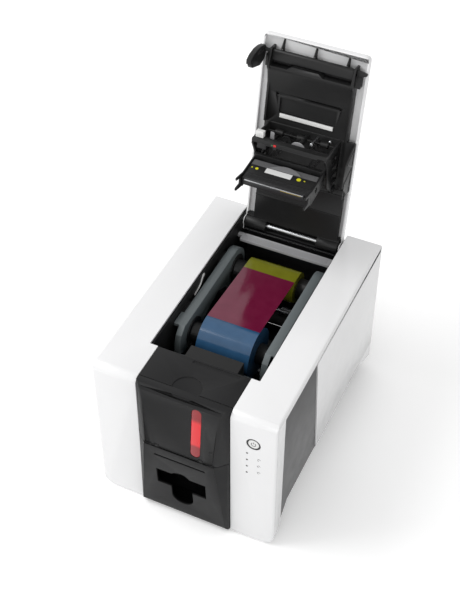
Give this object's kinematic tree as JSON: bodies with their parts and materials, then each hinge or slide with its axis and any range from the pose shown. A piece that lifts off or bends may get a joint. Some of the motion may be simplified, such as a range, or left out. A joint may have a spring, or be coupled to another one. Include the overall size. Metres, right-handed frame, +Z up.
{
  "type": "id card printer",
  "caption": "Desktop card printer with white side covers, a black front with card door and tray mouth, and a raised top cover over a ribbon cassette.",
  "frame": {"origin": "on the table, in the middle of the outline of the printer as stored, with its cover open", "axes": "+X to the right of a person facing the card door, +Y to the back, +Z up"},
  "size_m": [0.2062, 0.3424, 0.4071],
  "materials": {
    "white_gloss": "high gloss white",
    "black_plastic": "fine textured black",
    "dark_panel": "smooth dark grey",
    "cassette_grey": "satin grey",
    "light_grey": "satin light grey",
    "white_satin": "satin white",
    "red_window": "clear red",
    "film_yellow": "glossy dye film",
    "film_magenta": "glossy dye film",
    "film_blue": "glossy dye film",
    "steel": "bright",
    "rubber": "matt",
    "board_green": "coated board",
    "motor_black": "black paint"
  },
  "bodies": {
    "chassis": {"base_tray": "black_plastic", "rubber_feet": "rubber", "left_frame": "black_plastic", "right_frame": "black_plastic", "left_cover": "white_gloss", "right_cover": "white_gloss", "left_rear_side_panel": "white_gloss", "right_rear_side_panel": "white_gloss", "left_front_side_panel": "dark_panel", "right_front_side_panel": "dark_panel", "rear_panel": "black_plastic", "top_panel": "black_plastic", "front_panel": "black_plastic", "door_hinge_rod": "steel", "card_hopper": "black_plastic", "output_tray": "black_plastic", "lid_hinge_rod": "steel", "rear_guide_bar": "light_grey", "card_guides": "dark_panel", "cassette_rail_left": "cassette_grey", "cassette_rail_right": "cassette_grey", "cassette_ties": "cassette_grey", "ribbon_web": "film_magenta", "side_clip": "white_satin", "drive_motor": "motor_black", "drive_belt": "rubber", "ribbon_motor": "steel", "main_board": "board_green", "power_board": "board_green", "power_inlet": "black_plastic", "data_ports": "steel", "control_board": "board_green", "status_lights": "light_grey", "case_screws": "steel", "button_ring": "light_grey"},
    "door": {"feeder_door": "black_plastic", "door_window": "red_window"},
    "button": {"power_button": "white_gloss"},
    "lid": {"lid_shell": "white_gloss", "lid_frame": "black_plastic", "lid_strip": "white_satin", "sensor_board": "board_green", "round_cap": "light_grey", "head_springs": "steel"},
    "latch": {"latch_bar": "black_plastic"},
    "head": {"head_bracket": "black_plastic", "print_head": "dark_panel", "head_edge": "steel"},
    "motor_pulley_body": {"motor_pulley": "steel"},
    "feed_roller_body": {"feed_roller": "rubber"},
    "cleaning_roller_body": {"cleaning_roller": "rubber"},
    "front_drive_roller_body": {"front_drive_roller": "rubber"},
    "platen_roller_body": {"platen_roller": "rubber"},
    "rear_drive_roller_body": {"rear_drive_roller": "rubber"},
    "front_pinch_roller_body": {"front_pinch_roller": "steel"},
    "rear_pinch_roller_body": {"rear_pinch_roller": "steel"},
    "supply_spool": {"supply_core": "black_plastic", "supply_film": "film_blue"},
    "takeup_spool": {"takeup_core": "black_plastic", "takeup_film": "film_yellow"}
  },
  "joints": [
    {"name": "lid_hinge", "type": "hinge", "parent": "chassis", "child": "lid", "pos_m": [0, 0.11977, 0.1844], "axis": [1, 0, 0], "range_deg": [0, 100.5], "deforming": ["ribbon_web"]},
    {"name": "latch_pivot", "type": "hinge", "parent": "lid", "child": "latch", "pos_m": [0, 0.15824, 0.39085], "axis": [1, 0, 0], "range_deg": [-10, 0], "stiffness_Nm_per_rad": 0.05, "springref_deg": 20.05},
    {"name": "head_pivot", "type": "hinge", "parent": "lid", "child": "head", "pos_m": [0, 0.12675, 0.30108], "axis": [1, 0, 0], "range_deg": [0, 1.2], "stiffness_Nm_per_rad": 3, "springref_deg": -2.86},
    {"name": "door_hinge", "type": "hinge", "parent": "chassis", "child": "door", "pos_m": [0, -0.16853, 0.1192], "axis": [1, 0, 0], "range_deg": [0, 80]},
    {"name": "button_press", "type": "slide", "parent": "chassis", "child": "button", "axis": [0, 1, 0], "range_m": [0, 0.0008], "stiffness_N_per_m": 800, "springref_m": -0.0006},
    {"name": "feed_spin", "type": "hinge", "parent": "chassis", "child": "feed_roller_body", "pos_m": [0, -0.09623, 0.0945], "axis": [1, 0, 0], "continuous": true},
    {"name": "cleaning_spin", "type": "hinge", "parent": "chassis", "child": "cleaning_roller_body", "pos_m": [0, -0.06623, 0.0945], "axis": [1, 0, 0], "continuous": true},
    {"name": "front_drive_spin", "type": "hinge", "parent": "chassis", "child": "front_drive_roller_body", "pos_m": [0, -0.02423, 0.0945], "axis": [1, 0, 0], "continuous": true},
    {"name": "platen_spin", "type": "hinge", "parent": "chassis", "child": "platen_roller_body", "pos_m": [0, 0.02477, 0.0945], "axis": [1, 0, 0], "continuous": true},
    {"name": "rear_drive_spin", "type": "hinge", "parent": "chassis", "child": "rear_drive_roller_body", "pos_m": [0, 0.07177, 0.0945], "axis": [1, 0, 0], "continuous": true},
    {"name": "motor_spin", "type": "hinge", "parent": "chassis", "child": "motor_pulley_body", "pos_m": [0, 0.02777, 0.052], "axis": [1, 0, 0], "continuous": true},
    {"name": "front_pinch_spin", "type": "hinge", "parent": "chassis", "child": "front_pinch_roller_body", "pos_m": [0, -0.02423, 0.1084], "axis": [1, 0, 0], "continuous": true},
    {"name": "rear_pinch_spin", "type": "hinge", "parent": "chassis", "child": "rear_pinch_roller_body", "pos_m": [0, 0.07177, 0.1084], "axis": [1, 0, 0], "continuous": true},
    {"name": "supply_spin", "type": "hinge", "parent": "chassis", "child": "supply_spool", "pos_m": [0, -0.04123, 0.1565], "axis": [1, 0, 0], "continuous": true},
    {"name": "takeup_spin", "type": "hinge", "parent": "chassis", "child": "takeup_spool", "pos_m": [0, 0.06777, 0.1565], "axis": [1, 0, 0], "continuous": true}
  ],
  "couplings": [
    {"joint": "feed_spin", "follows": "platen_spin", "ratio": 1},
    {"joint": "cleaning_spin", "follows": "platen_spin", "ratio": 1},
    {"joint": "front_drive_spin", "follows": "platen_spin", "ratio": 1},
    {"joint": "rear_drive_spin", "follows": "platen_spin", "ratio": 1},
    {"joint": "motor_spin", "follows": "platen_spin", "ratio": 1.2125},
    {"joint": "takeup_spin", "follows": "supply_spin", "ratio": 1.5556}
  ]
}
